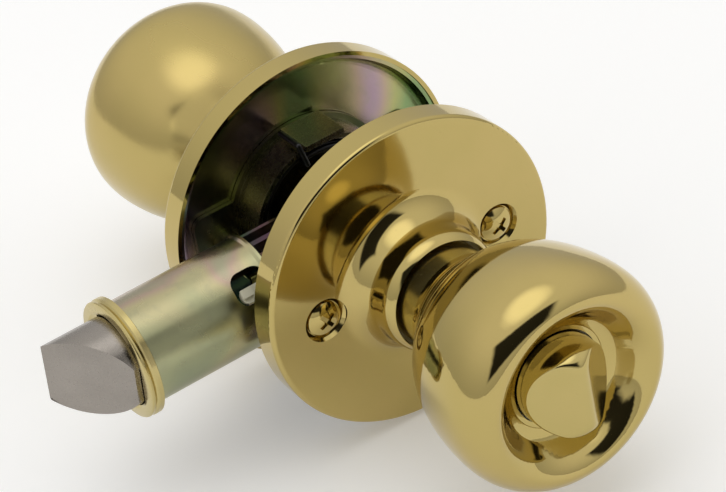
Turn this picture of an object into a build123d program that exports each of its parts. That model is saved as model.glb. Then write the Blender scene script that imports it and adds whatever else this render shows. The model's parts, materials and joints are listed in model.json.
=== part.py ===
from build123d import *
import math
import os

# Tulip-knob privacy lockset with an adjustable drive-in spring latch.
# Frame: the knobs turn about Y, the latch slides along X, Z is up. The origin is where the
# knob axis crosses the latch axis, in the middle of the door's thickness. The inside
# (privacy) knob is at -Y, the outside knob at +Y, and the bolt points to -X.

os.makedirs("parts", exist_ok=True)

INSIDE = -1
OUTSIDE = 1
SIDES = {"inside": INSIDE, "outside": OUTSIDE}

# ---------------------------------------------------------------- driving dimensions (mm)
door_gap = 28.4            # clear distance between the two rose rims
rose_r = 33.3              # 2-5/8 in rose
rose_depth = 5.8           # rim wall, from the door to the flat face
sheet = 0.9                # pressed brass
liner_sheet = 0.8          # pressed steel liner
neck_rise = 11.25          # face to the lip of the rose's neck
neck_bore_r = 11.65
screw_x = 21.0             # through screws, either side of the knob axis

shank_r = 10.8             # knob shank, turns in the neck bush
shank_bore_r = 9.3
running_gap = 0.05         # radial play of a turning fit
free_gap = 0.3             # play between moving pieces that don't bear on each other

throw = 12.7               # 1/2 in bolt throw
turn_angle = 60.0          # knob turn that draws the whole throw
collar_front_x = -57.2
collar_r = 12.7            # 1 in face bore
tube_r = 11.0
tube_wall = 1.0
tube_rear_x = -24.2
bolt_r = 9.6
bolt_flat_y = 6.3          # half thickness of the bolt across its flats
bolt_tip_x = collar_front_x - throw

spindle_r = 4.0
spindle_flat = 3.0
stem_r = 1.5
stem_bore_r = 1.85

# ---------------------------------------------------------------- places worked out
face_y = door_gap / 2 + rose_depth
liner_y = face_y - sheet
plate_y = liner_y - liner_sheet - 0.1
plate_sheet = 1.0
housing_y = plate_y - plate_sheet
housing_mouth_y = 9.4
housing_r = 17.6
ring_y = housing_y - plate_sheet - free_gap
driver_y = 9.2
driver_sheet = 1.0
shank_inner_y = driver_y + driver_sheet
shank_outer_y = face_y + 20.0
lip_y = face_y + neck_rise


def cross_plane(y):
    """A plane across the knob axis at y: local x is X, local y is Z, and it faces -Y."""
    return Plane.XZ.offset(-y)


def latch_plane(x):
    """A plane across the latch axis at x: local x is Y, local y is Z, and it faces +X."""
    return Plane.YZ.offset(x)


def span(side, near, far):
    """The larger y, and the length, of a stretch between two distances from the middle."""
    return max(side * near, side * far), abs(far - near)


def save(piece, name):
    piece.part.label = name
    export_step(piece.part, f"parts/{name}.step")


def turned(name, outline, side):
    """A ring turned about Y from (radius, distance from the middle) points."""
    with BuildPart() as ring:
        with BuildSketch():
            with BuildLine():
                Polyline([(r, side * d) for r, d in outline], close=True)
            make_face()
        revolve(axis=Axis.Y)
    save(ring, name)


def shifted_curve(points, distance):
    """The points of a profile moved square to it, to the right of its direction."""
    moved = []
    for i, (r, d) in enumerate(points):
        before = points[max(i - 1, 0)]
        after = points[min(i + 1, len(points) - 1)]
        dr, dd = after[0] - before[0], after[1] - before[1]
        size = math.hypot(dr, dd)
        moved.append((r + distance * dd / size, d - distance * dr / size))
    return moved


# ================================================================ roses and their liners
edge_round = 0.9
face_inner_r = 18.4        # the flat face ends here and sweeps up into the neck
neck_r = 13.0
dimple_r = 4.7
dimple_depth = 1.0
screw_hole_r = 2.2


def rose(name, side, dimples):
    """A pressed brass pan: rim wall, flat face, and a neck drawn up from the face."""
    inner_rim_r = rose_r - sheet
    with BuildPart() as pan:
        with BuildSketch():
            with BuildLine():
                rim = Line((rose_r, side * door_gap / 2), (rose_r, side * (face_y - edge_round)))
                corner = RadiusArc(rim @ 1, (rose_r - edge_round, side * face_y), -side * edge_round)
                face = Line(corner @ 1, (face_inner_r, side * face_y))
                sweep_up = Spline([face @ 1, (15.7, side * (face_y + 0.94)), (14.58, side * (face_y + 2.05)),
                                   (13.72, side * (face_y + 3.5)), (neck_r, side * (lip_y - 3.05))],
                                  tangents=[(-1, 0), (0, side)])
                shoulder = RadiusArc(sweep_up @ 1, (neck_r - 1.2, side * (lip_y - 0.15)), -side * 4.1)
                bore_start = Line(shoulder @ 1, (neck_bore_r, side * (lip_y - 0.3)))
                bore = Line(bore_start @ 1, (neck_bore_r, side * (face_y + 7.0)))
                back = Spline([bore @ 1, (12.6, side * (face_y + 3.0)), (13.9, side * (face_y + 1.1)),
                               (face_inner_r, side * liner_y)], tangents=[(0, -side), (1, 0)])
                under = Line(back @ 1, (inner_rim_r - 0.6, side * liner_y))
                inner_corner = Line(under @ 1, (inner_rim_r, side * (liner_y - 0.6)))
                inner_rim = Line(inner_corner @ 1, (inner_rim_r, side * door_gap / 2))
                Line(inner_rim @ 1, rim @ 0)
            make_face()
        revolve(axis=Axis.Y)
        if dimples:
            seat_y, seat_depth = span(side, face_y - dimple_depth - 0.8, face_y - 0.5)
            with BuildSketch(cross_plane(seat_y)):
                with Locations((-screw_x, 0), (screw_x, 0)):
                    Circle(dimple_r + 0.5)
            extrude(amount=seat_depth)
            for x in (-screw_x, screw_x):
                with BuildSketch(cross_plane(side * face_y)):
                    with Locations((x, 0)):
                        Circle(dimple_r)
                with BuildSketch(cross_plane(side * (face_y - dimple_depth))):
                    with Locations((x, 0)):
                        Circle(dimple_r - 0.8)
                loft(mode=Mode.SUBTRACT)
            sweep_y, sweep_depth = span(side, face_y, face_y + 1.2)
            with BuildSketch(cross_plane(sweep_y)):
                with Locations((-screw_x, 0), (screw_x, 0)):
                    Circle(dimple_r)
            extrude(amount=sweep_depth, mode=Mode.SUBTRACT)
            hole_y, hole_depth = span(side, face_y - 4.0, face_y + 1.0)
            with BuildSketch(cross_plane(hole_y)):
                with Locations((-screw_x, 0), (screw_x, 0)):
                    Circle(screw_hole_r)
            extrude(amount=hole_depth, mode=Mode.SUBTRACT)
    save(pan, name)


def rose_liner(name, side, holes_r):
    """A steel dish that lines the rose, with a wide inside radius and holes at the screws."""
    outer = rose_r - sheet - 0.05
    mouth = door_gap / 2 + 0.5
    hole_y, hole_depth = span(side, door_gap / 2, face_y)
    with BuildPart() as dish:
        with BuildSketch():
            with BuildLine():
                wall = Line((outer, side * mouth), (outer, side * (liner_y - 1.2)))
                outer_bend = Line(wall @ 1, (outer - 1.2, side * liner_y))
                floor = Line(outer_bend @ 1, (face_inner_r + 0.5, side * liner_y))
                hole = Line(floor @ 1, (face_inner_r + 0.5, side * (liner_y - liner_sheet)))
                top = Line(hole @ 1, (outer - 3.4, side * (liner_y - liner_sheet)))
                bend = RadiusArc(top @ 1, (outer - liner_sheet, side * (liner_y - 3.4)), side * 2.6)
                inner_wall = Line(bend @ 1, (outer - liner_sheet, side * mouth))
                Line(inner_wall @ 1, wall @ 0)
            make_face()
        revolve(axis=Axis.Y)
        with BuildSketch(cross_plane(hole_y)):
            with Locations((-screw_x, 0), (screw_x, 0)):
                Circle(holes_r)
        extrude(amount=hole_depth, mode=Mode.SUBTRACT)
    save(dish, name)


rose("inside_rose", INSIDE, dimples=True)
rose("outside_rose", OUTSIDE, dimples=False)
rose_liner("inside_rose_liner", INSIDE, dimple_r + 0.8)
rose_liner("outside_rose_liner", OUTSIDE, 2.3)

# ================================================================ mounting plates and housings
plate_half_x = 27.0
plate_half_z = 8.0
rivet_r = 1.2
rivet_at = 14.4            # housing rivets, from the knob axis
rivet_angles = (45, 135, 225, 315)
post_r = 2.9


def rivet_places():
    return [(rivet_at * math.cos(math.radians(a)), rivet_at * math.sin(math.radians(a)))
            for a in rivet_angles]


def mounting_plate(name, side):
    """The strap that carries the screws: a bar over a round pad, with the shank's hole."""
    start, length = span(side, plate_y - plate_sheet, plate_y)
    with BuildPart() as strap:
        with BuildSketch(cross_plane(start)) as outline:
            Rectangle(2 * plate_half_x, 2 * plate_half_z)
            fillet(outline.vertices(), 2.5)
            Circle(housing_r + 1.2)
            Circle(shank_r + 0.4, mode=Mode.SUBTRACT)
            with Locations((-screw_x, 0), (screw_x, 0)):
                Circle(screw_hole_r, mode=Mode.SUBTRACT)
            with Locations(rivet_places()):
                Circle(rivet_r, mode=Mode.SUBTRACT)
        extrude(amount=length)
    save(strap, name)


tab_half_x = 4.6
tab_sheet = 1.1
tab_reach_y = 7.8


def spring_housing(name, side):
    """A drawn cup round the shank's inner end, with a bent stop tab over its top."""
    base_y = housing_y - plate_sheet
    with BuildPart() as cup:
        with BuildSketch():
            with BuildLine():
                Polyline([(shank_r + 0.4, side * housing_y), (housing_r, side * housing_y),
                          (housing_r, side * housing_mouth_y), (housing_r - 1.0, side * housing_mouth_y),
                          (housing_r - 1.0, side * base_y), (shank_r + 0.4, side * base_y)], close=True)
            make_face()
        revolve(axis=Axis.Y)
        tab_y, tab_length = span(side, tab_reach_y, housing_y)
        with BuildSketch(cross_plane(tab_y)):
            with Locations((1.4, housing_r + tab_sheet / 2 - 0.1)):
                Rectangle(2 * tab_half_x, tab_sheet + 0.2)
        extrude(amount=tab_length)
        hole_y, hole_depth = span(side, base_y - 0.5, housing_y + 0.5)
        with BuildSketch(cross_plane(hole_y)):
            with Locations(rivet_places()):
                Circle(rivet_r)
        extrude(amount=hole_depth, mode=Mode.SUBTRACT)
    save(cup, name)


for label, side in SIDES.items():
    mounting_plate(f"{label}_mounting_plate", side)
    spring_housing(f"{label}_spring_housing", side)
    turned(f"{label}_neck_bush",
           [(shank_r + running_gap, face_y + 0.4), (neck_bore_r, face_y + 0.4),
            (neck_bore_r, lip_y - 3.2), (shank_r + running_gap, lip_y - 3.2)], side)

with BuildPart() as housing_rivets:
    for side in SIDES.values():
        shaft_y, shaft_length = span(side, housing_y - plate_sheet, plate_y)
        head_y, head_length = span(side, housing_y - plate_sheet - 0.7, housing_y - plate_sheet)
        with BuildSketch(cross_plane(shaft_y)):
            with Locations(rivet_places()):
                Circle(rivet_r)
        extrude(amount=shaft_length)
        with BuildSketch(cross_plane(head_y)):
            with Locations(rivet_places()):
                Circle(rivet_r + 0.7)
        extrude(amount=head_length)
save(housing_rivets, "housing_rivets")

# The lock ring stands in the inside housing. Its arc window lets the locking dog in.
lock_ring_y = 13.2
lock_ring_sheet = 0.8
lock_ring_r = 11.3
dog_half = 1.5
dog_travel = 1.5
dog_top = 10.4

with BuildPart() as lock_ring:
    with BuildSketch(cross_plane(-lock_ring_y)):
        Circle(housing_r - 1.0)
        Circle(lock_ring_r, mode=Mode.SUBTRACT)
        window_r = dog_top + dog_travel + 0.5
        with BuildLine():
            arc = CenterArc((0, 0), window_r, -72, 84)
            CenterArc((0, 0), lock_ring_r - 0.5, -72, 84)
            Line(arc @ 0, (arc @ 0) * ((lock_ring_r - 0.5) / window_r))
            Line(arc @ 1, (arc @ 1) * ((lock_ring_r - 0.5) / window_r))
        make_face(mode=Mode.SUBTRACT)
    extrude(amount=lock_ring_sheet)
save(lock_ring, "lock_ring")

# ================================================================ posts and through screws
post_end_y = -5.0
screw_r = 2.0
screw_end_y = 8.0
head_r = 3.7
head_floor_y = -(face_y - dimple_depth)

with BuildPart() as mounting_posts:
    with BuildSketch(cross_plane(plate_y - plate_sheet)):
        with Locations((-screw_x, 0), (screw_x, 0)):
            Circle(post_r)
    extrude(amount=plate_y - plate_sheet - post_end_y)
    with BuildSketch(cross_plane(plate_y)):
        with Locations((-screw_x, 0), (screw_x, 0)):
            Circle(screw_hole_r)
    extrude(amount=plate_sheet)
    with BuildSketch(cross_plane(plate_y - plate_sheet - 3.0)):
        with Locations((-screw_x, 0), (screw_x, 0)):
            Circle(screw_r + running_gap)
    extrude(amount=plate_y - post_end_y, mode=Mode.SUBTRACT)
save(mounting_posts, "mounting_posts")

with BuildPart() as rose_screws:
    for x in (-screw_x, screw_x):
        head_plane = Plane(origin=(x, head_floor_y, 0), x_dir=(1, 0, 0), z_dir=(0, 0, 1))
        with BuildSketch(head_plane):
            with BuildLine():
                foot = Line((0, 0), (head_r - 0.5, 0))
                side_wall = Line(foot @ 1, (head_r, -0.55))
                dome = RadiusArc(side_wall @ 1, (0, -1.75), 6.3)
                Line(dome @ 1, foot @ 0)
            make_face()
        revolve(axis=Axis(origin=(x, 0, 0), direction=(0, 1, 0)))
    with BuildSketch(cross_plane(screw_end_y)):
        with Locations((-screw_x, 0), (screw_x, 0)):
            Circle(screw_r)
    extrude(amount=screw_end_y - head_floor_y)
    with BuildSketch(cross_plane(head_floor_y - 0.5)):
        with Locations((-screw_x, 0), (screw_x, 0)):
            Rectangle(3.9, 0.85, rotation=35)
            Rectangle(0.85, 3.9, rotation=35)
            Circle(0.8)
    extrude(amount=2.0, mode=Mode.SUBTRACT)
save(rose_screws, "rose_screws")

# ================================================================ knobs
# Distances along a knob are from the rose's flat face; each pair is (radius, distance).
shell_sheet = 1.2
neck_edge = 16.6
tulip = [(11.7, neck_edge), (11.85, 17.8), (12.9, 20.2), (15.3, 22.8), (17.6, 25.1), (19.6, 28.0),
         (21.2, 31.4), (22.6, 36.0), (23.4, 40.6), (23.7, 44.6), (23.3, 48.4), (22.2, 51.0)]
button_hole_r = 9.8
dish_floor = 46.9
dish = [(20.4, 53.0), (18.5, 53.7), (17.2, 53.2), (15.8, 51.9), (14.6, 50.2), (13.4, 48.7), (12.0, 47.6),
        (10.8, 47.1), (button_hole_r, dish_floor)]
dome = [(20.4, 53.3), (17.4, 55.1), (12.0, 56.4), (6.0, 57.0)]
release_hole_r = 1.6


def shell_lining(points):
    """The shell's inner profile, a sheet's thickness in, and round the shank at the neck."""
    lining = shifted_curve(points, -shell_sheet)
    lining[0] = (shank_r + 0.1, neck_edge)
    lining[1] = (shank_r + 0.12, lining[1][1])
    return lining


def in_frame(points, side):
    return [(r, side * (face_y + d)) for r, d in points]


with BuildPart() as inside_knob_shell:
    outer_points = tulip + dish
    inner_points = shell_lining(outer_points)
    inner_points[-1] = (button_hole_r, dish_floor - shell_sheet)
    with BuildSketch():
        with BuildLine():
            outer = Spline(in_frame(outer_points, INSIDE), tangents=[(0, -1), (-1, 0.15)])
            Line(outer @ 1, in_frame(inner_points, INSIDE)[-1])
            inner = Spline(in_frame(inner_points, INSIDE)[::-1])
            Line(inner @ 1, outer @ 0)
        make_face()
    revolve(axis=Axis.Y)
save(inside_knob_shell, "inside_knob_shell")

with BuildPart() as outside_knob_shell:
    outer_points = tulip + dome + [(release_hole_r, 57.15)]
    inner_points = shell_lining(outer_points)
    inner_points[-1] = (release_hole_r, 57.15 - shell_sheet)
    with BuildSketch():
        with BuildLine():
            outer = Spline(in_frame(outer_points, OUTSIDE), tangents=[(0, 1), (-1, 0)])
            Line(outer @ 1, in_frame(inner_points, OUTSIDE)[-1])
            inner = Spline(in_frame(inner_points, OUTSIDE)[::-1])
            Line(inner @ 1, outer @ 0)
        make_face()
    revolve(axis=Axis.Y)
save(outside_knob_shell, "outside_knob_shell")

groove_r = 10.0
ring_sheet = 1.0


def knob_shank(name, side, dog_window):
    """The steel sleeve that the shell is spun over, with a ring groove at its inner end."""
    groove_near = ring_y - ring_sheet - 0.05
    groove_far = ring_y + 0.05
    with BuildPart() as sleeve:
        with BuildSketch():
            with BuildLine():
                Polyline([(shank_bore_r, side * shank_inner_y), (shank_r, side * shank_inner_y),
                          (shank_r, side * groove_near), (groove_r, side * groove_near),
                          (groove_r, side * groove_far), (shank_r, side * groove_far),
                          (shank_r, side * shank_outer_y), (shank_bore_r, side * shank_outer_y)],
                         close=True)
            make_face()
        revolve(axis=Axis.Y)
        if dog_window:
            with BuildSketch(latch_plane(shank_bore_r - 1.5)):
                with Locations((side * (lock_ring_y + lock_ring_sheet / 2), 0)):
                    Rectangle(3.0, 2 * (dog_half + free_gap))
            extrude(amount=4.0, mode=Mode.SUBTRACT)
    save(sleeve, name)


def spring_driver(name, side):
    """The plate on the shank's inner end: the spindle turns it and its lug winds the spring."""
    start, length = span(side, driver_y, driver_y + driver_sheet)
    lug_y, lug_length = span(side, driver_y, driver_y + 2.6)
    with BuildPart() as driver:
        with BuildSketch(cross_plane(start)):
            Circle(shank_r)
            with Locations((0, -11.3)):
                Rectangle(4.0, 3.2)
        extrude(amount=length)
        with BuildSketch(cross_plane(lug_y)):
            with Locations((0, -12.3)):
                Rectangle(4.0, 1.0)
        extrude(amount=lug_length)
        with BuildSketch(cross_plane(start)):
            Circle(spindle_r + 0.1)
            Rectangle(20, 2 * (spindle_flat + 0.1), mode=Mode.INTERSECT)
        extrude(amount=length, mode=Mode.SUBTRACT)
    save(driver, name)


def retaining_ring(name, side):
    """A snap ring in the shank's groove, open at the bottom."""
    start, length = span(side, ring_y - ring_sheet, ring_y)
    with BuildPart() as ring:
        with BuildSketch(cross_plane(start)):
            Circle(12.2)
            Circle(groove_r + 0.05, mode=Mode.SUBTRACT)
            with Locations((0, -12)):
                Rectangle(5.0, 6.0, mode=Mode.SUBTRACT)
        extrude(amount=length)
    save(ring, name)


for label, side in SIDES.items():
    knob_shank(f"{label}_knob_shank", side, dog_window=(side == INSIDE))
    spring_driver(f"{label}_spring_driver", side)
    retaining_ring(f"{label}_retaining_ring", side)

# The spindle is a double-D bar through the latch hub, bored for the lock stem.
spindle_inner_y = -(driver_y + driver_sheet + 0.6)
spindle_outer_y = 16.0
with BuildPart() as spindle:
    with BuildSketch(cross_plane(spindle_outer_y)):
        Circle(spindle_r)
        Rectangle(20, 2 * spindle_flat, mode=Mode.INTERSECT)
        Circle(stem_bore_r, mode=Mode.SUBTRACT)
    extrude(amount=spindle_outer_y - spindle_inner_y)
save(spindle, "spindle")

# The washer holds the spindle in the outside shank.
turned("spindle_collar",
       [(spindle_r + 0.05, 12.0), (shank_bore_r, 12.0), (shank_bore_r, 14.5), (spindle_r + 0.05, 14.5)], OUTSIDE)

# ================================================================ turn button and privacy lock
button_r = 9.5
button_shoulder = 51.0
button_top = 57.0
button_foot = 40.0
wing_half = 1.9

with BuildPart() as turn_button:
    shoulder_y = -(face_y + button_shoulder)
    top_y = -(face_y + button_top)
    foot_y = -(face_y + button_foot)
    with BuildSketch():
        with BuildLine():
            foot = Line((0, foot_y), (button_r, foot_y))
            body = Line(foot @ 1, (button_r, top_y + 3.0))
            edge = RadiusArc(body @ 1, (button_r - 2.6, top_y + 0.25), 2.9)
            crown = Line(edge @ 1, (0, top_y))
            Line(crown @ 1, foot @ 0)
        make_face()
    revolve(axis=Axis.Y)
    for hand in (-1, 1):
        with BuildSketch(Plane.XY.offset(-button_r - 1)):
            with BuildLine():
                Polyline([(hand * wing_half, top_y - 1.0), (hand * wing_half, top_y + 0.15),
                          (hand * (button_r + 0.6), shoulder_y + 0.4), (hand * (button_r + 3), shoulder_y),
                          (hand * (button_r + 3), top_y - 1.0)], close=True)
            make_face()
        extrude(amount=2 * button_r + 2, mode=Mode.SUBTRACT)
    with BuildSketch(cross_plane(foot_y)):
        Circle(stem_r)
    extrude(amount=6.0, mode=Mode.SUBTRACT)
save(turn_button, "turn_button")

# A moulded bush behind the dish carries the button's foot and the stem.
bush_far = dish_floor - shell_sheet - 0.25
bush_near = 34.0
with BuildPart() as button_bush:
    with BuildSketch():
        with BuildLine():
            Polyline([(stem_r + running_gap, -(face_y + bush_near)), (12.6, -(face_y + bush_near)),
                      (12.6, -(face_y + bush_far)), (button_r + running_gap, -(face_y + bush_far)),
                      (button_r + running_gap, -(face_y + button_foot - free_gap)),
                      (stem_r + running_gap, -(face_y + button_foot - free_gap))], close=True)
        make_face()
    revolve(axis=Axis.Y)
    for angle in range(0, 360, 60):
        with BuildSketch(cross_plane(-(face_y + bush_near))):
            with Locations(Rotation(0, 0, angle) * Pos(16.3, 0)):
                Rectangle(8.2, 1.6)
        extrude(amount=5.0)
save(button_bush, "button_bush")

stem_outer_y = 30.0
with BuildPart() as lock_stem:
    with BuildSketch(cross_plane(stem_outer_y)):
        Circle(stem_r)
    extrude(amount=stem_outer_y + face_y + button_foot + 5.0)
    with BuildSketch(cross_plane(stem_outer_y)):
        Rectangle(4, 0.7)
    extrude(amount=1.5, mode=Mode.SUBTRACT)
save(lock_stem, "lock_stem")

# The cam's long axis lies across the dog at rest and lifts it after a quarter turn.
cam_low = 3.0
cam_high = cam_low + dog_travel
dog_near = 12.4
dog_far = 14.8
with BuildPart() as lock_cam:
    with BuildSketch(cross_plane(-dog_near)):
        Ellipse(cam_low, cam_high)
        Circle(stem_r + 0.02, mode=Mode.SUBTRACT)
    extrude(amount=dog_far - dog_near)
save(lock_cam, "lock_cam")

with BuildPart() as lock_dog:
    with BuildSketch(cross_plane(-dog_near)):
        with Locations(((cam_low + free_gap + dog_top) / 2, 0)):
            Rectangle(dog_top - cam_low - free_gap, 2 * dog_half)
    extrude(amount=dog_far - dog_near)
save(lock_dog, "lock_dog")

# The lock housing fills the inside shank round the cam and guides the dog.
with BuildPart() as lock_housing:
    with BuildSketch(cross_plane(spindle_inner_y - 0.4)):
        Circle(shank_bore_r - 0.02)
        Circle(stem_r + 0.3, mode=Mode.SUBTRACT)
    extrude(amount=dog_far + 2.4 + spindle_inner_y - 0.4)
    with BuildSketch(cross_plane(-(dog_near - free_gap))):
        Circle(cam_high + free_gap)
        with Locations((6.0, 0)):
            Rectangle(12.0, 2 * (dog_half + free_gap))
    extrude(amount=dog_far - dog_near + 2 * free_gap, mode=Mode.SUBTRACT)
save(lock_housing, "lock_housing")

# ================================================================ latch tube, collar and case
window_angle = 41.0        # the backset window, up from the inside face
window_x = -29.4
window_long = 7.8
window_wide = 7.0
collar_rear_x = collar_front_x + 2.9

with BuildPart() as latch_tube:
    with BuildSketch(Plane.XY):
        with BuildLine():
            front = collar_rear_x - 0.6
            Polyline([(front, tube_r - tube_wall), (front, tube_r), (tube_rear_x - 1.5, tube_r),
                      (tube_rear_x - 0.9, tube_r + 0.35), (tube_rear_x - 0.3, tube_r + 0.35),
                      (tube_rear_x, tube_r), (tube_rear_x, tube_r - tube_wall)], close=True)
        make_face()
    revolve(axis=Axis.X)
    window_plane = Plane(origin=(window_x, 0, 0), x_dir=(1, 0, 0),
                         z_dir=(0, -math.cos(math.radians(window_angle)), math.sin(math.radians(window_angle))))
    with BuildSketch(window_plane):
        RectangleRounded(window_long, window_wide, 2.6)
    extrude(amount=tube_r + 2, mode=Mode.SUBTRACT)
save(latch_tube, "latch_tube")

with BuildPart() as backset_lug:
    with BuildSketch(window_plane.offset(tube_r - tube_wall - 1.2)):
        with Locations((0.2, -1.5)):
            RectangleRounded(6.4, 3.1, 1.4)
    extrude(amount=2.5)
    with BuildSketch(window_plane.offset(tube_r - tube_wall - 1.2)):
        with Locations((-1.8, -0.9)):
            Rectangle(2.4, 1.8)
    extrude(amount=3.2)
save(backset_lug, "backset_lug")

with BuildPart() as latch_collar:
    with BuildSketch(Plane.XY):
        with BuildLine():
            start = (collar_front_x + 0.35, bolt_r - 2.0)
            Polyline([start, (collar_front_x + 0.35, bolt_r + free_gap), (collar_front_x, bolt_r + 0.9),
                      (collar_front_x, collar_r - 0.5), (collar_front_x + 0.35, collar_r - 0.1),
                      (collar_front_x + 0.7, collar_r - 0.15), (collar_front_x + 1.0, collar_r - 0.55),
                      (collar_front_x + 1.3, collar_r - 0.2), (collar_front_x + 1.55, collar_r),
                      (collar_rear_x - 0.25, collar_r), (collar_rear_x, collar_r - 0.5),
                      (collar_rear_x, tube_r + 0.02), (front, tube_r + 0.02), (front, bolt_r - 2.0)],
                     close=True)
        make_face()
    revolve(axis=Axis.X)
    with BuildSketch(latch_plane(collar_front_x - 1)):
        Circle(bolt_r - 1.9)
        Circle(bolt_r + free_gap)
        Rectangle(2 * (bolt_flat_y + free_gap), 40, mode=Mode.INTERSECT)
    extrude(amount=6, mode=Mode.SUBTRACT)
save(latch_collar, "latch_collar")

case_y = 5.6
case_sheet = 0.8
case_front_x = -28.2
case_rear_x = 13.0
journal_r = 5.1
barrel_r = 5.8
case_rivet_places = [(9.8, 3.4), (9.8, -3.4)]
for label, side in (("near", INSIDE), ("far", OUTSIDE)):
    start, length = span(side, case_y, case_y + case_sheet)
    with BuildPart() as case_plate:
        with BuildSketch(cross_plane(start)):
            with BuildLine():
                Polyline([(case_front_x, -7.4), (tube_rear_x, -7.4), (tube_rear_x + 0.5, -7.9),
                          (case_rear_x - 3, -7.9), (case_rear_x, -4.9), (case_rear_x, 4.9),
                          (case_rear_x - 3, 7.9), (tube_rear_x + 0.5, 7.9), (tube_rear_x, 7.4),
                          (case_front_x, 7.4)], close=True)
            make_face()
            Circle(journal_r + running_gap, mode=Mode.SUBTRACT)
            with Locations((-screw_x, 0)):
                Circle(post_r + 0.2, mode=Mode.SUBTRACT)
            with Locations(case_rivet_places):
                Circle(1.0, mode=Mode.SUBTRACT)
        extrude(amount=length)
    save(case_plate, f"case_plate_{label}")

with BuildPart() as case_rivets:
    outer_y = case_y + case_sheet
    for radius, half in ((1.0, outer_y + 0.6), (1.5, case_y)):
        with BuildSketch(cross_plane(half)):
            with Locations(case_rivet_places):
                Circle(radius)
        extrude(amount=2 * half)
    for side in SIDES.values():
        head_y, head_length = span(side, outer_y, outer_y + 0.6)
        with BuildSketch(cross_plane(head_y)):
            with Locations(case_rivet_places):
                Circle(1.7)
        extrude(amount=head_length)
save(case_rivets, "case_rivets")

# ================================================================ latch hub and retractor
ear_half = 1.2             # half thickness of the ears along Y
ear_w = 1.3                # half width of an ear
ear_tip = 14.0
pin_r = 1.3
pin_z = throw / 2 / math.tan(math.radians(turn_angle / 2))
ear_lean = turn_angle / 2
pin_x = -pin_z * math.tan(math.radians(ear_lean)) + (ear_w + pin_r) / math.cos(math.radians(ear_lean)) + free_gap

with BuildPart() as latch_hub:
    with BuildSketch(cross_plane(case_y - free_gap)):
        Circle(barrel_r)
    extrude(amount=2 * (case_y - free_gap))
    with BuildSketch(cross_plane(case_y + case_sheet + 0.5)):
        Circle(journal_r)
    extrude(amount=2 * (case_y + case_sheet + 0.5))
    for lean in (90 + ear_lean, 270 - ear_lean):
        with BuildSketch(cross_plane(ear_half)):
            with Locations(Rotation(0, 0, lean) * Pos(ear_tip / 2, 0)):
                SlotOverall(ear_tip, 2 * ear_w)
        extrude(amount=2 * ear_half)
    with BuildSketch(cross_plane(case_y + case_sheet + 0.5)):
        Circle(spindle_r + 0.1)
        Rectangle(20, 2 * (spindle_flat + 0.1), mode=Mode.INTERSECT)
    extrude(amount=2 * (case_y + case_sheet + 0.5), mode=Mode.SUBTRACT)
save(latch_hub, "latch_hub")

rail_y = 1.6
rail_sheet = 1.4
rail_low = 6.1
rail_high = 7.9
crossbar_front_x = -39.9
crossbar_rear_x = -37.8
rail_rear_x = 0.8
horn_half = 2.3
for label, side in (("near", INSIDE), ("far", OUTSIDE)):
    start, length = span(side, rail_y, rail_y + rail_sheet)
    with BuildPart() as retractor_rail:
        with BuildSketch(cross_plane(start)):
            for up in (-1, 1):
                with Locations(((crossbar_rear_x + rail_rear_x) / 2, up * (rail_low + rail_high) / 2)):
                    Rectangle(rail_rear_x - crossbar_rear_x, rail_high - rail_low)
                with Locations((pin_x, up * (rail_low + pin_z) / 2)):
                    Rectangle(2 * horn_half, pin_z - rail_low)
                with Locations((pin_x, up * pin_z)):
                    Circle(horn_half)
                    Circle(pin_r - 0.2, mode=Mode.SUBTRACT)
        extrude(amount=length)
    save(retractor_rail, f"retractor_rail_{label}")

with BuildPart() as retractor_pins:
    for radius, half in ((pin_r - 0.2, rail_y + rail_sheet + 0.3), (pin_r, rail_y)):
        with BuildSketch(cross_plane(half)):
            with Locations((pin_x, pin_z), (pin_x, -pin_z)):
                Circle(radius)
        extrude(amount=2 * half)
save(retractor_pins, "retractor_pins")

strap_low = 3.5
strap_high = 5.5
strap_half_y = 3.4
with BuildPart() as retractor_crossbar:
    with BuildSketch(latch_plane(crossbar_front_x)):
        Rectangle(2 * 4.9, 2 * rail_high)
        for up in (-1, 1):
            with Locations((0, up * (strap_low + strap_high) / 2)):
                Rectangle(2 * (strap_half_y + free_gap), strap_high - strap_low + 2 * free_gap,
                          mode=Mode.SUBTRACT)
    extrude(amount=crossbar_rear_x - crossbar_front_x)
save(retractor_crossbar, "retractor_crossbar")

# ================================================================ bolt
bolt_rear_x = -54.0
pocket_r = 3.4
pocket_x = -60.0
slant_end_x = collar_front_x - 0.9
with BuildPart() as bolt_head:
    with BuildSketch(latch_plane(bolt_tip_x)):
        Circle(bolt_r)
        Rectangle(2 * bolt_flat_y, 40, mode=Mode.INTERSECT)
    extrude(amount=bolt_rear_x - bolt_tip_x)
    with BuildSketch(Plane.XY.offset(-bolt_r - 1)):
        with BuildLine():
            Polyline([(bolt_tip_x - 1, -bolt_flat_y - 1), (slant_end_x, -bolt_flat_y - 1),
                      (slant_end_x, -bolt_flat_y), (bolt_tip_x, bolt_flat_y - 0.35),
                      (bolt_tip_x, bolt_flat_y + 1), (bolt_tip_x - 1, bolt_flat_y + 1)], close=True)
        make_face()
    extrude(amount=2 * bolt_r + 2, mode=Mode.SUBTRACT)
    with BuildSketch(latch_plane(pocket_x)):
        Circle(pocket_r)
    extrude(amount=bolt_rear_x - pocket_x, mode=Mode.SUBTRACT)
save(bolt_head, "bolt_head")

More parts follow.
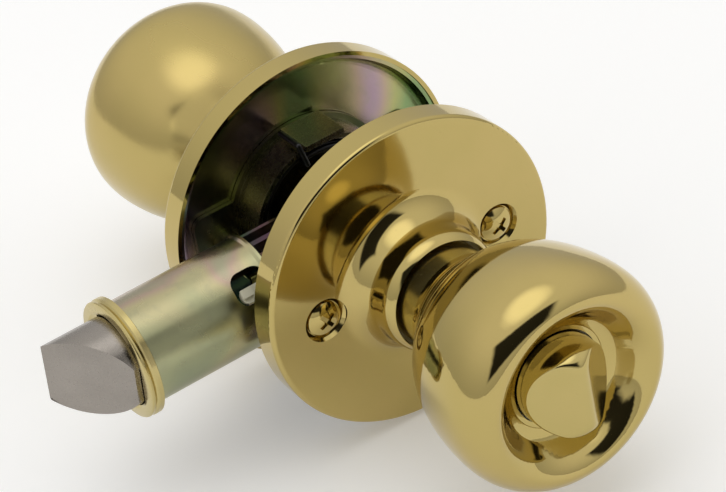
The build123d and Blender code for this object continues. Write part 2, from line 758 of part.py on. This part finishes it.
tail_rear_x = -36.0
hook_front_x = crossbar_rear_x + 0.1
hook_half_y = 5.2
with BuildPart() as bolt_tail:
    with BuildSketch(latch_plane(bolt_rear_x)):
        Circle(bolt_r - 0.4)
        Rectangle(2 * hook_half_y, 40, mode=Mode.INTERSECT)
        Circle(pocket_r, mode=Mode.SUBTRACT)
    extrude(amount=1.2)
    with BuildSketch(latch_plane(bolt_rear_x)):
        for up in (-1, 1):
            with Locations((0, up * (strap_low + strap_high) / 2)):
                Rectangle(2 * strap_half_y, strap_high - strap_low)
    extrude(amount=tail_rear_x - bolt_rear_x)
    with BuildSketch(latch_plane(hook_front_x)):
        for up in (-1, 1):
            with Locations((0, up * (strap_low + strap_high) / 2)):
                Rectangle(2 * hook_half_y, strap_high - strap_low)
    extrude(amount=tail_rear_x - hook_front_x)
    with BuildSketch(latch_plane(tail_rear_x - 6.0)):
        Rectangle(2 * (ear_half + 0.5), 2 * strap_high + 1)
    extrude(amount=7.0, mode=Mode.SUBTRACT)
save(bolt_tail, "bolt_tail")

# ================================================================ springs
wire_r = 0.45
bolt_coil_r = 2.5
with BuildPart() as bolt_spring:
    coil_start = pocket_x + wire_r + 0.05
    coil_end = crossbar_front_x - wire_r - 0.05
    with BuildLine() as coil:
        Helix(pitch=(coil_end - coil_start) / 7, height=coil_end - coil_start, radius=bolt_coil_r,
              center=(coil_start, 0, 0), direction=(1, 0, 0))
    with BuildSketch(Plane(origin=coil.line @ 0, z_dir=coil.line % 0)):
        Circle(wire_r)
    sweep(path=coil.line, is_frenet=True)
save(bolt_spring, "bolt_spring")

# Each return spring is anchored beside the stop tab and ends just ahead of the driver's lug.
torsion_wire_r = 0.6
torsion_r = 14.6
torsion_near = 10.4
torsion_pitch = 1.35
leg_y = 8.5
anchor_r = 19.8
anchor_angle = 103.0
driven_angle = -106.0
driven_r = 11.9


def along(angle, radius, y):
    return radius * math.cos(math.radians(angle)), y, radius * math.sin(math.radians(angle))


def wire(start, end):
    """A round wire between two points, with a ball at its start to close the bend."""
    start, end = Vector(*start), Vector(*end)
    with BuildPart() as length:
        with BuildSketch(Plane(origin=start, z_dir=end - start)):
            Circle(torsion_wire_r)
        extrude(amount=(end - start).length)
        with Locations(start):
            Sphere(torsion_wire_r)
    return length.part


for label, side in SIDES.items():
    winding = -side
    swept = (winding * (driven_angle - anchor_angle)) % 360 + 360
    height = torsion_pitch * swept / 360
    near_y = side * torsion_near
    far_y = side * (torsion_near + height)
    with BuildPart() as coil:
        with BuildLine() as helix:
            Helix(pitch=torsion_pitch, height=height, radius=torsion_r,
                  center=(0, near_y, 0), direction=(0, side, 0))
        with BuildSketch(Plane(origin=helix.line @ 0, z_dir=helix.line % 0)):
            Circle(torsion_wire_r)
        sweep(path=helix.line, is_frenet=True)
    start = helix.line @ 0
    start_angle = math.degrees(math.atan2(start.Z, start.X))
    with BuildPart() as return_spring:
        add(coil.part.rotate(Axis.Y, start_angle - anchor_angle))
        anchor = [along(anchor_angle, torsion_r, near_y), along(anchor_angle, torsion_r, side * leg_y),
                  along(anchor_angle, anchor_r, side * leg_y), along(anchor_angle, anchor_r, side * 15.0)]
        for bend, following in zip(anchor, anchor[1:]):
            add(wire(bend, following))
        add(wire(along(driven_angle, torsion_r, far_y), along(driven_angle, driven_r, far_y)))
    save(return_spring, f"{label}_return_spring")
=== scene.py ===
import json
import math

import bmesh
import bpy
from mathutils import Matrix, Vector


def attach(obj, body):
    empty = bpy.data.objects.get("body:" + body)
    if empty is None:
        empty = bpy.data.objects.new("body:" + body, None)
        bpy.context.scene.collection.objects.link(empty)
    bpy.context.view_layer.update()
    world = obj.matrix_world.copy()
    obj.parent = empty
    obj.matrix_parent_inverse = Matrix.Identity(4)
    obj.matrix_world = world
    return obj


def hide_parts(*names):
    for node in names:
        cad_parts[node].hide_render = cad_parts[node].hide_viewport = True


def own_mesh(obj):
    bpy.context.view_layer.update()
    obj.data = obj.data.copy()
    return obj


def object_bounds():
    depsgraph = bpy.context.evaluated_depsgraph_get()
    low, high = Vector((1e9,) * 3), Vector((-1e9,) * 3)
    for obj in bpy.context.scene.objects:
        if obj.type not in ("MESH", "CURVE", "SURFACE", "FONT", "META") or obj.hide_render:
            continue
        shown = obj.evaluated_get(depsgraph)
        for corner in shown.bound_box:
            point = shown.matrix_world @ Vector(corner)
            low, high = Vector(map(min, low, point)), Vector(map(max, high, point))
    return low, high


# A privacy lockset with tulip knobs, in polished brass, with a yellow-chromated drive-in latch.
# Lengths are in metres. Y runs along the knobs, -X along the latch, Z is up.

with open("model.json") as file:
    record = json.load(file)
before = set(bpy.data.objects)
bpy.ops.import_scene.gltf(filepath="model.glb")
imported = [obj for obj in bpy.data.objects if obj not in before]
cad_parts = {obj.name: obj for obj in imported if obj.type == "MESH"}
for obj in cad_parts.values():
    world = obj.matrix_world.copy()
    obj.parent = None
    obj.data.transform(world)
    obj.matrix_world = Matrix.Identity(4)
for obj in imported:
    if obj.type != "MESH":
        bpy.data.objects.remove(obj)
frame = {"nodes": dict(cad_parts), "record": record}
cad_low, cad_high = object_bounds()
scene = bpy.context.scene
MM = 0.001


# ---------------------------------------------------------------- shader helpers
class Shader:
    """A material and short ways to add nodes to it."""

    def __init__(self, name):
        self.material = bpy.data.materials.new(name)
        self.material.use_nodes = True
        self.tree = self.material.node_tree
        self.surface = self.tree.nodes["Principled BSDF"]
        self.place = self.node("ShaderNodeTexCoord").outputs["Object"]

    def node(self, kind, settings=(), **inputs):
        made = self.tree.nodes.new(kind)
        for key, value in dict(settings).items():
            setattr(made, key, value)
        for key, value in inputs.items():
            self.feed(made.inputs[key.replace("_", " ")], value)
        return made

    def feed(self, socket, value):
        if isinstance(value, bpy.types.NodeSocket):
            self.tree.links.new(value, socket)
        else:
            socket.default_value = value

    def set(self, **inputs):
        for key, value in inputs.items():
            self.feed(self.surface.inputs[key.replace("_", " ")], value)

    def noise(self, scale, detail=3.0, roughness=0.55, distortion=0.0):
        made = self.node("ShaderNodeTexNoise", Vector=self.place, Scale=scale, Detail=detail,
                         Roughness=roughness, Distortion=distortion)
        return made.outputs["Fac"]

    def lathe_marks(self, axis, scale, detail):
        made = self.node("ShaderNodeTexNoise", Vector=self.turned(axis), Scale=scale, Detail=detail)
        return made.outputs["Fac"]

    def math(self, operation, a, b=0.0):
        made = self.tree.nodes.new("ShaderNodeMath")
        made.operation = operation
        self.feed(made.inputs[0], a)
        self.feed(made.inputs[1], b)
        return made.outputs[0]

    def span(self, value, low, high, out_low, out_high):
        made = self.node("ShaderNodeMapRange", Value=value)
        for key, number in (("From Min", low), ("From Max", high),
                            ("To Min", out_low), ("To Max", out_high)):
            made.inputs[key].default_value = number
        return made.outputs["Result"]

    def ramp(self, value, stops):
        made = self.node("ShaderNodeValToRGB", Fac=value)
        ramp = made.color_ramp
        while len(ramp.elements) < len(stops):
            ramp.elements.new(0.5)
        for element, (position, colour) in zip(ramp.elements, stops):
            element.position = position
            element.color = (*colour, 1.0)
        return made.outputs["Color"]

    def mix(self, factor, a, b, blend="MIX"):
        made = self.tree.nodes.new("ShaderNodeMix")
        made.data_type = "RGBA"
        made.blend_type = blend
        self.feed(made.inputs[0], factor)
        for socket, value in ((made.inputs[6], a), (made.inputs[7], b)):
            self.feed(socket, value if isinstance(value, bpy.types.NodeSocket) else (*value, 1.0))
        return made.outputs[2]

    def bump(self, height, strength, distance, normal=None):
        made = self.node("ShaderNodeBump", Height=height, Strength=strength, Distance=distance)
        if normal:
            self.feed(made.inputs["Normal"], normal)
        return made.outputs["Normal"]

    def turned(self, axis):
        """(distance from the axis, place along it) as one texture place, for marks left by a lathe."""
        parts = self.node("ShaderNodeSeparateXYZ", Vector=self.place)
        across = [parts.outputs[k] for k in "XYZ" if k != axis]
        squares = self.math("ADD", self.math("MULTIPLY", across[0], across[0]),
                            self.math("MULTIPLY", across[1], across[1]))
        joined = self.node("ShaderNodeCombineXYZ", X=self.math("SQRT", squares), Y=parts.outputs[axis])
        return joined.outputs["Vector"]


def pits(shader, scale, size):
    """Sparse specks: 1 inside a speck, 0 elsewhere."""
    cells = shader.node("ShaderNodeTexVoronoi", Vector=shader.place, Scale=scale)
    return shader.span(cells.outputs["Distance"], size * 0.6, size, 1.0, 0.0)


# ---------------------------------------------------------------- materials
def polished_brass(name, tint=(0.53, 0.41, 0.157), rough=0.065, axis="Y", lathe=0.03):
    """Buffed brass under lacquer: faint turning rings, handling haze, and small dark specks."""
    s = Shader(name)
    cloud = s.noise(38.0, 4.0)
    duller = tuple(part * share for part, share in zip(tint, (0.93, 0.95, 0.90)))
    colour = s.mix(s.span(cloud, 0.35, 0.65, 0.0, 1.0), duller, tint)
    specks = pits(s, 330.0, 0.030)
    colour = s.mix(s.math("MULTIPLY", specks, 0.5), colour, (0.16, 0.11, 0.04))
    smears = s.noise(30.0, 6.0, 0.6, distortion=0.6)
    roughness = s.span(smears, 0.35, 0.75, rough * 0.8, rough * 1.9)
    roughness = s.math("ADD", roughness, s.math("MULTIPLY", specks, 0.25))
    normal = s.bump(s.lathe_marks(axis, 1500.0, 2.0), lathe, 0.000012)
    normal = s.bump(s.noise(120.0, 2.0), 0.06, 0.00012, normal)
    s.set(Base_Color=colour, Metallic=1.0, Roughness=roughness, Normal=normal)
    return s.material


def yellow_zinc(name, scale, tones, rough=0.25, brushed=None, grain=0.10):
    """Yellow chromate over zinc: straw to grey-green, with pink and violet films where it is thick."""
    s = Shader(name)
    film = s.noise(scale, 2.0, 0.45, distortion=1.1)
    colour = s.ramp(film, tones)
    blotch = s.noise(420.0, 3.0)
    colour = s.mix(s.span(blotch, 0.5, 0.75, 0.0, 0.30), colour, (0.30, 0.30, 0.20))
    specks = pits(s, 520.0, 0.05)
    colour = s.mix(s.math("MULTIPLY", specks, 0.5), colour, (0.14, 0.14, 0.09))
    normal = s.bump(s.noise(1500.0, 2.0), grain, 0.00003)
    if brushed:
        normal = s.bump(s.lathe_marks(brushed, 2600.0, 3.0), 0.12, 0.00003, normal)
    roughness = s.span(s.noise(60.0, 4.0), 0.3, 0.7, rough * 0.8, rough * 1.35)
    s.set(Base_Color=colour, Metallic=1.0, Roughness=roughness, Normal=normal)
    return s.material


def worn_edges(shader, radius):
    """1 along edges, where handling has rubbed the surface bright, and 0 on flats."""
    rounded = shader.node("ShaderNodeBevel", Radius=radius).outputs["Normal"]
    plain = shader.node("ShaderNodeNewGeometry").outputs["Normal"]
    facing = shader.tree.nodes.new("ShaderNodeVectorMath")
    facing.operation = "DOT_PRODUCT"
    shader.feed(facing.inputs[0], rounded)
    shader.feed(facing.inputs[1], plain)
    return shader.span(facing.outputs["Value"], 0.80, 0.99, 1.0, 0.0)


def plain_metal(name, tint, rough, grain_scale=900.0, grain=0.15, wear=0.0):
    s = Shader(name)
    cloud = s.noise(70.0, 4.0)
    colour = s.mix(s.span(cloud, 0.3, 0.7, 0.0, 1.0), tuple(c * 0.82 for c in tint), tint)
    specks = pits(s, 420.0, 0.05)
    colour = s.mix(s.math("MULTIPLY", specks, 0.5), colour, tuple(c * 0.4 for c in tint))
    if wear:
        rubbed = s.math("MULTIPLY", worn_edges(s, 0.0004), wear)
        colour = s.mix(rubbed, colour, (0.55, 0.52, 0.42))
    texture = s.noise(grain_scale, 3.0)
    roughness = s.span(texture, 0.3, 0.7, rough * 0.8, rough * 1.25)
    s.set(Base_Color=colour, Metallic=1.0, Roughness=roughness, Normal=s.bump(texture, grain, 0.00005))
    return s.material


def moulded(name, tint):
    s = Shader(name)
    cloud = s.noise(120.0, 3.0)
    colour = s.mix(s.span(cloud, 0.3, 0.7, 0.0, 1.0), tuple(c * 0.9 for c in tint), tint)
    s.set(Base_Color=colour, Roughness=s.span(s.noise(300.0), 0.3, 0.7, 0.4, 0.6),
          Normal=s.bump(s.noise(1400.0), 0.2, 0.00005))
    return s.material


FILM = [(0.28, (0.17, 0.24, 0.12)), (0.40, (0.24, 0.34, 0.15)), (0.47, (0.42, 0.42, 0.17)),
        (0.52, (0.46, 0.35, 0.26)), (0.56, (0.40, 0.29, 0.36)), (0.61, (0.22, 0.28, 0.38)),
        (0.66, (0.17, 0.34, 0.26)), (0.75, (0.26, 0.38, 0.16))]
STRAW = [(0.30, (0.30, 0.33, 0.21)), (0.42, (0.40, 0.40, 0.23)), (0.50, (0.47, 0.42, 0.24)),
         (0.57, (0.45, 0.34, 0.26)), (0.66, (0.36, 0.37, 0.24))]
# painted shade: the chromate film ramp made darker, so the mounting plates read as lying in shade
PAINTED_SHADE_FILM = [(0.30, (0.10, 0.11, 0.055)), (0.45, (0.20, 0.20, 0.09)), (0.56, (0.15, 0.18, 0.12)),
             (0.66, (0.22, 0.17, 0.10))]
materials = {
    "polished_brass": polished_brass("brass_polished"),
    "satin_brass": polished_brass("brass_satin", (0.60, 0.50, 0.22), 0.17),
    "yellow_zinc": yellow_zinc("zinc_yellow", 24.0, FILM, 0.20),
    "dark_steel": plain_metal("steel_dark", (0.24, 0.21, 0.135), 0.27, wear=0.8),
    "satin_bolt": plain_metal("bolt_satin", (0.35, 0.318, 0.285), 0.24, 1900.0, 0.30),
    "steel": plain_metal("steel_drawn", (0.48, 0.47, 0.46), 0.24),
    "spring_steel": plain_metal("steel_spring", (0.05, 0.05, 0.052), 0.35),
    "nylon": moulded("nylon_pale", (0.70, 0.67, 0.52)),
}
finish_of = {
    "latch_tube": yellow_zinc("zinc_tube", 30.0, STRAW, 0.24, brushed="X"),
    "outside_knob_shell": polished_brass("brass_hazed", rough=0.17, lathe=0.0),
    "latch_collar": polished_brass("brass_collar", (0.55, 0.45, 0.20), 0.20, axis="X", lathe=0.3),
}
# painted shade: a darker copy of the yellow zinc on both mounting plates, standing in for the shade they sit
# in
painted_shade_zinc = yellow_zinc("zinc_painted_shade", 30.0, PAINTED_SHADE_FILM, 0.26)
for side in ("inside", "outside"):
    finish_of[f"{side}_mounting_plate"] = painted_shade_zinc

slot_of = {entry["node"]: entry["material_slot"] for entry in frame["record"]["subparts"]}
for node, obj in frame["nodes"].items():
    obj.data.materials.clear()
    obj.data.materials.append(finish_of.get(node, materials[slot_of[node]]))


def mesh_data(mesh, name, smooth=True, sharp=None):
    """Mesh data from a closed bmesh, with its normals outwards. Edges past the sharp angle stay sharp."""
    bmesh.ops.recalc_face_normals(mesh, faces=mesh.faces)
    data = bpy.data.meshes.new(name)
    mesh.to_mesh(data)
    mesh.free()
    if smooth:
        data.shade_smooth()
    if sharp:
        data.set_sharp_from_angle(angle=sharp)
    return data


# ---------------------------------------------------------------- bolt and collar
# Both sit turned a little about the latch's axis. The cast bolt has softened edges.
BOLT_ROLL = math.radians(10)
BOLT_R = 9.6
BOLT_FAR_FLAT = 6.3
BOLT_NEAR_FLAT = 8.4
COLLAR_FRONT = -57.2
BOLT_TIP = COLLAR_FRONT - 12.7
SLANT_END = COLLAR_FRONT - 0.9
BOLT_MIDDLE = -56.0
BOLT_REAR = -54.0
POCKET_X = -60.0
POCKET_R = 3.4
HOLE_GAP = 0.3
BOLT_EDGE = 0.25
TIP_THICK = 0.35          # the flat left at the bolt's tip
HOLE_FRONT = 0.35         # the hole's ends, back from the collar's face
HOLE_REAR = 2.3


def flatted(gap):
    """The bolt's section, a circle with a flat on each side, grown by gap, as its radius at an angle
    from +Y towards +Z."""
    def radius_at(angle):
        across = math.cos(angle - BOLT_ROLL)
        flat = (BOLT_FAR_FLAT if across > 0 else BOLT_NEAR_FLAT) + gap
        return min(BOLT_R + gap, flat / max(1e-6, abs(across)))
    return radius_at


def corner_angles(gap, count=240):
    """Even steps round the circle, with one at each corner of the flats."""
    corners = []
    for base, flat in ((0.0, BOLT_FAR_FLAT), (math.pi, BOLT_NEAR_FLAT)):
        corner = math.acos((flat + gap) / (BOLT_R + gap))
        corners += [(BOLT_ROLL + base + sign * corner) % (2 * math.pi) for sign in (1, -1)]
    return sorted([2 * math.pi * k / count for k in range(count)] + corners)


def loop_mesh(name, angles, loops, closed):
    """Skin loops of (radius at an angle, x at a place). Cap both ends, or join the last to the first."""
    mesh = bmesh.new()
    made = []
    for radius_at, x_at in loops:
        ring = []
        for angle in angles:
            radius = radius_at(angle)
            y, z = radius * math.cos(angle), radius * math.sin(angle)
            ring.append(mesh.verts.new((x_at(y, z) * MM, y * MM, z * MM)))
        made.append(ring)
    count = len(angles)
    pairs = list(zip(made, made[1:])) + ([(made[-1], made[0])] if closed else [])
    for inner, outer in pairs:
        for k in range(count):
            mesh.faces.new((inner[k], inner[(k + 1) % count], outer[(k + 1) % count], outer[k]))
    if not closed:
        mesh.faces.new(made[0])
        mesh.faces.new(made[-1])
    return mesh_data(mesh, name, sharp=math.radians(28))


def stand_for(name, data, material, body, node):
    made = bpy.data.objects.new(name, data)
    scene.collection.objects.link(made)
    data.materials.append(material)
    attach(made, body)
    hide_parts(node)
    return made


def slant_x(y, z):
    """The slanted face: x at a place on it."""
    across = y * math.cos(BOLT_ROLL) + z * math.sin(BOLT_ROLL)
    share = (across + BOLT_NEAR_FLAT) / (BOLT_NEAR_FLAT + BOLT_FAR_FLAT - TIP_THICK)
    return max(BOLT_TIP, SLANT_END + (BOLT_TIP - SLANT_END) * share)


def at(x):
    return lambda y, z: x


def evenly(radius):
    return lambda angle: radius


bolt_outline = flatted(0.0)
bolt_data = loop_mesh("bolt_slanted", corner_angles(0.0), [
    (bolt_outline, slant_x), (bolt_outline, at(BOLT_MIDDLE)), (bolt_outline, at(BOLT_REAR)),
    (evenly(POCKET_R), at(BOLT_REAR)), (evenly(POCKET_R), at(POCKET_X))], closed=False)
bolt = stand_for("bolt_slanted", bolt_data, materials["satin_bolt"], "latch_bolt", "bolt_head")
softened = bolt.modifiers.new("softened", "BEVEL")
softened.width = BOLT_EDGE * MM
softened.segments = 3
softened.limit_method = "ANGLE"
softened.angle_limit = math.radians(40)

hole = flatted(HOLE_GAP)
# (radius, distance back from the collar's face), from the hole's front round the rim to its rear
collar_profile = [(9.93, HOLE_FRONT), (10.5, 0.0), (12.2, 0.0), (12.45, 0.12), (12.6, 0.35), (12.55, 0.7),
                  (12.15, 1.0), (12.5, 1.3), (12.7, 1.55), (12.7, 2.65), (12.2, 2.9), (11.02, 2.9),
                  (11.02, HOLE_REAR), (9.93, HOLE_REAR)]
collar_data = loop_mesh("collar_ring", corner_angles(HOLE_GAP), [
    (hole, at(COLLAR_FRONT + HOLE_FRONT)),
    *[(evenly(radius), at(COLLAR_FRONT + depth)) for radius, depth in collar_profile],
    (hole, at(COLLAR_FRONT + HOLE_REAR))], closed=True)
stand_for("collar_ring", collar_data, finish_of["latch_collar"], "lock_body", "latch_collar")

# ---------------------------------------------------------------- backset lug
# It stands in the tube's window, clear of the bolt, which slides under it.
WINDOW_X = -29.4
WINDOW_ANGLE = math.radians(41)
LUG_LOW = 9.72            # heights from the latch's axis
LUG_TOP = 11.3
LUG_STEP_TOP = 12.0


def prism(mesh, outline, low, high):
    """A prism on the window's plane, from (along the latch, round the tube) points."""
    rings = []
    for height in (low, high):
        rings.append([mesh.verts.new(((WINDOW_X + u) * MM,
                                      (v * math.sin(WINDOW_ANGLE) - height * math.cos(WINDOW_ANGLE)) * MM,
                                      (v * math.cos(WINDOW_ANGLE) + height * math.sin(WINDOW_ANGLE)) * MM))
                      for u, v in outline])
    for k in range(len(outline)):
        after = (k + 1) % len(outline)
        mesh.faces.new((rings[0][k], rings[0][after], rings[1][after], rings[1][k]))
    for ring in rings:
        mesh.faces.new(ring)


def rounded(u, v, long, wide, radius, steps=8):
    """A rectangle's outline with rounded corners, centred on (u, v)."""
    points = []
    for corner, (side_u, side_v) in enumerate(((1, 1), (-1, 1), (-1, -1), (1, -1))):
        for k in range(steps + 1):
            angle = math.pi / 2 * (corner + k / steps)
            points.append((u + side_u * (long / 2 - radius) + radius * math.cos(angle),
                           v + side_v * (wide / 2 - radius) + radius * math.sin(angle)))
    return points


lug_mesh = bmesh.new()
prism(lug_mesh, rounded(0.2, -1.5, 6.4, 3.1, 1.4), LUG_LOW, LUG_TOP)
prism(lug_mesh, rounded(-1.8, -0.9, 2.4, 1.8, 0.2), LUG_TOP, LUG_STEP_TOP)
stand_for("window_lug", mesh_data(lug_mesh, "window_lug", smooth=False), materials["nylon"],
          "lock_body", "backset_lug")

# ---------------------------------------------------------------- turn button
# The button's top is a domed disc with two flat facets that meet in a soft ridge.
FACE_Y = 20.0
BUTTON_R = 9.5
BUTTON_BASE = 40.0
BUTTON_EDGE = 0.3
BUTTON_TOP = 56.9
DOME_ROUNDING = 4.4
RIDGE_TOP = 57.4
RIDGE_SOFTNESS = 0.9
FACET_SLOPE = 0.80
FACET_BLEND = 0.8


def button_height(x, z):
    """Distance of the button's top from the rose's face, in mm."""
    past = max(0.0, math.hypot(x, z) - (BUTTON_R + 0.25 - DOME_ROUNDING))
    dome = BUTTON_TOP - DOME_ROUNDING + math.sqrt(max(0.0, DOME_ROUNDING ** 2 - past ** 2))
    roof = RIDGE_TOP - FACET_SLOPE * math.hypot(x, RIDGE_SOFTNESS)
    apart = max(-1.0, min(1.0, (dome - roof) / FACET_BLEND))
    return min(dome, roof) - FACET_BLEND * 0.25 * (1.0 - abs(apart)) ** 2


def button_mesh(around=192, rings=72):
    mesh = bmesh.new()

    def ring(radius, height):
        made = []
        for k in range(around):
            angle = 2 * math.pi * k / around
            x, z = radius * math.cos(angle), radius * math.sin(angle)
            made.append(mesh.verts.new((x * MM, -(FACE_Y + height(x, z)) * MM, z * MM)))
        return made

    top = mesh.verts.new((0, -(FACE_Y + button_height(0, 0)) * MM, 0))
    loops = [ring((BUTTON_R - BUTTON_EDGE) * k / rings, button_height) for k in range(1, rings + 1)]
    for k in range(1, 7):
        turn = math.pi / 2 * k / 6
        out, drop = BUTTON_EDGE * math.sin(turn), BUTTON_EDGE * (1 - math.cos(turn))
        loops.append(ring(BUTTON_R - BUTTON_EDGE + out,
                          lambda x, z: button_height(x, z) - drop))
    for level in (49.0, 46.0, 43.0, BUTTON_BASE):
        loops.append(ring(BUTTON_R, lambda x, z: level))
    for k in range(around):
        mesh.faces.new((top, loops[0][(k + 1) % around], loops[0][k]))
        for inner, outer in zip(loops, loops[1:]):
            mesh.faces.new((inner[k], inner[(k + 1) % around], outer[(k + 1) % around], outer[k]))
    mesh.faces.new(loops[-1])
    return mesh_data(mesh, "button_cap")


button = bpy.data.objects.new("button_cap", button_mesh())
scene.collection.objects.link(button)
button.data.materials.append(polished_brass("brass_button", (0.53, 0.42, 0.165), 0.10))
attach(button, "turn_button")
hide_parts("turn_button")

# ---------------------------------------------------------------- bolt spring
# The coil shortens as the bolt is pushed in. Here it is a piece of its own, carried with the retractor.
SPRING_FRONT = -59.5
SPRING_REAR = -40.4
SPRING_R = 2.5
WIRE_R = 0.45


def spring_mesh(turns=7, steps=28, sides=10):
    mesh = bmesh.new()
    loops = []
    rise = (SPRING_REAR - SPRING_FRONT) / (2 * math.pi * turns)
    for k in range(turns * steps + 1):
        angle = 2 * math.pi * k / steps
        radial = Vector((0, math.cos(angle), math.sin(angle)))
        along = Vector((rise, -SPRING_R * math.sin(angle), SPRING_R * math.cos(angle))).normalized()
        across = along.cross(radial)
        centre = Vector((SPRING_FRONT + rise * angle, 0, 0)) + radial * SPRING_R
        loops.append([mesh.verts.new((centre + radial * (WIRE_R * math.cos(turn))
                                      + across * (WIRE_R * math.sin(turn))) * MM)
                      for turn in (2 * math.pi * s / sides for s in range(sides))])
    for inner, outer in zip(loops, loops[1:]):
        for s in range(sides):
            mesh.faces.new((inner[s], inner[(s + 1) % sides], outer[(s + 1) % sides], outer[s]))
    mesh.faces.new(loops[0])
    mesh.faces.new(loops[-1])
    return mesh_data(mesh, "bolt_coil")


coil = bpy.data.objects.new("bolt_coil", spring_mesh())
scene.collection.objects.link(coil)
coil.data.materials.append(materials["spring_steel"])
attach(coil, "retractor")
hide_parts("bolt_spring")
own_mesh(coil)

# ---------------------------------------------------------------- floor, light and camera
scene.view_settings.view_transform = "Standard"
FLOOR_DROP = 0.0008
FLOOR_GLOW = 0.17         # keeps the floor as pale as studio paper in its own light


def paper(name, tint):
    s = Shader(name)
    grain = s.noise(400.0, 2.0)
    s.set(Base_Color=s.mix(grain, tint, tuple(c * 0.985 for c in tint)), Roughness=0.9,
          Emission_Color=(1.0, 1.0, 1.0, 1.0), Emission_Strength=FLOOR_GLOW)
    return s.material


floor_mesh = bpy.data.meshes.new("floor")
FLOOR_REACH = 3.0
floor_mesh.from_pydata([(-FLOOR_REACH, -FLOOR_REACH, 0), (FLOOR_REACH, -FLOOR_REACH, 0),
                        (FLOOR_REACH, FLOOR_REACH, 0), (-FLOOR_REACH, FLOOR_REACH, 0)],
                       [], [(0, 1, 2, 3)])
floor = bpy.data.objects.new("floor", floor_mesh)
floor.location.z = cad_low.z - FLOOR_DROP
floor_mesh.materials.append(paper("floor_paper", (0.96, 0.96, 0.96)))
scene.collection.objects.link(floor)

# A white tent: brighter towards the top, one soft box overhead, and the dark opening that the camera
# looks through.
world = bpy.data.worlds.new("studio")
scene.world = world
world.use_nodes = True
tree = world.node_tree
background = tree.nodes["Background"]
direction = tree.nodes.new("ShaderNodeTexCoord").outputs["Generated"]


def facing(aim):
    """The cosine between the direction looked in and aim."""
    dot = tree.nodes.new("ShaderNodeVectorMath")
    dot.operation = "DOT_PRODUCT"
    tree.links.new(direction, dot.inputs[0])
    dot.inputs[1].default_value = Vector(aim).normalized()
    return dot.outputs["Value"]


def smooth_span(value, low, high, out_low, out_high):
    span = tree.nodes.new("ShaderNodeMapRange")
    span.interpolation_type = "SMOOTHSTEP"
    tree.links.new(value, span.inputs["Value"])
    for key, number in (("From Min", low), ("From Max", high), ("To Min", out_low), ("To Max", out_high)):
        span.inputs[key].default_value = number
    return span.outputs["Result"]


def joined(operation, a, b):
    node = tree.nodes.new("ShaderNodeMath")
    node.operation = operation
    for socket, value in zip(node.inputs, (a, b)):
        if isinstance(value, bpy.types.NodeSocket):
            tree.links.new(value, socket)
        else:
            socket.default_value = value
    return node.outputs[0]


def lobe(aim, inner, outer, level):
    """level inside inner degrees of aim, falling to 0 at outer degrees."""
    return smooth_span(facing(aim), math.cos(math.radians(outer)), math.cos(math.radians(inner)), 0.0, level)


def slab(normal, half, edge):
    """1 within half of the plane through the centre across normal, falling to 0 over edge."""
    return smooth_span(joined("ABSOLUTE", facing(normal), 0.0), half, half + edge, 1.0, 0.0)


EVEN_LEVEL = 0.56         # light from every side
UPPER_GAIN = 0.36         # more of it from above
BOX_AIM = (0.0, -0.05, 1.0)
BOX_LEVEL = 0.75
OPENING_WIDE = (0.50, 0.12)       # half size and soft edge, as sines
OPENING_HIGH = (0.28, 0.08)
OPENING_DARK = 0.97
opening_azimuth, opening_elevation = math.radians(-20), math.radians(35)
sideways = Vector((math.cos(opening_azimuth), math.sin(opening_azimuth), 0.0))
outward = Vector((math.sin(opening_azimuth) * math.cos(opening_elevation),
                  -math.cos(opening_azimuth) * math.cos(opening_elevation), math.sin(opening_elevation)))
opening = joined("MULTIPLY", slab(sideways, *OPENING_WIDE), slab(outward.cross(sideways), *OPENING_HIGH))
opening = joined("MULTIPLY", opening, lobe(outward, 60, 80, OPENING_DARK))

light_level = joined("ADD", lobe((0, 0, 1), 30, 95, UPPER_GAIN), EVEN_LEVEL)
light_level = joined("ADD", light_level, lobe(BOX_AIM, 10, 30, BOX_LEVEL))
light_level = joined("MULTIPLY", light_level, joined("SUBTRACT", 1.0, opening))
tree.links.new(light_level, background.inputs["Strength"])
background.inputs["Color"].default_value = (1.0, 0.995, 0.98, 1)

# The far knob is lit through the opening as well.
FILL_SIZE = (1.25, 0.62)
FILL_DISTANCE = 0.75
FILL_WATTS = 1.5
fill = bpy.data.lights.new("far_knob_fill", "AREA")
fill.shape = "ELLIPSE"
fill.size, fill.size_y = FILL_SIZE
fill.energy = FILL_WATTS
fill_object = bpy.data.objects.new("far_knob_fill", fill)
fill_object.location = outward * FILL_DISTANCE
fill_object.rotation_mode = "QUATERNION"
fill_object.rotation_quaternion = outward.to_track_quat("Z", "Y")
scene.collection.objects.link(fill_object)
lit = bpy.data.collections.new("far_knob_fill_receivers")
lit.objects.link(frame["nodes"]["outside_knob_shell"])
fill_object.light_linking.receiver_collection = lit

azimuth, elevation, roll = math.radians(-27.77), math.radians(35.45), math.radians(-11.65)
back = Vector((math.sin(azimuth) * math.cos(elevation), -math.cos(azimuth) * math.cos(elevation),
               math.sin(elevation)))
camera_data = bpy.data.cameras.new("camera")
camera = bpy.data.objects.new("camera", camera_data)
scene.collection.objects.link(camera)
scene.camera = camera
target = Vector((0.000205, -0.001135, -0.003323))
distance = 0.65486
camera_data.lens = 160.98
right = Vector((math.cos(azimuth), math.sin(azimuth), 0.0))
up = back.cross(right)
turned_right = right * math.cos(roll) + up * math.sin(roll)
turned_up = up * math.cos(roll) - right * math.sin(roll)
camera.matrix_world = Matrix((
    (turned_right.x, turned_up.x, back.x, target.x + back.x * distance),
    (turned_right.y, turned_up.y, back.y, target.y + back.y * distance),
    (turned_right.z, turned_up.z, back.z, target.z + back.z * distance),
    (0, 0, 0, 1)))
camera_data.clip_start = 0.01
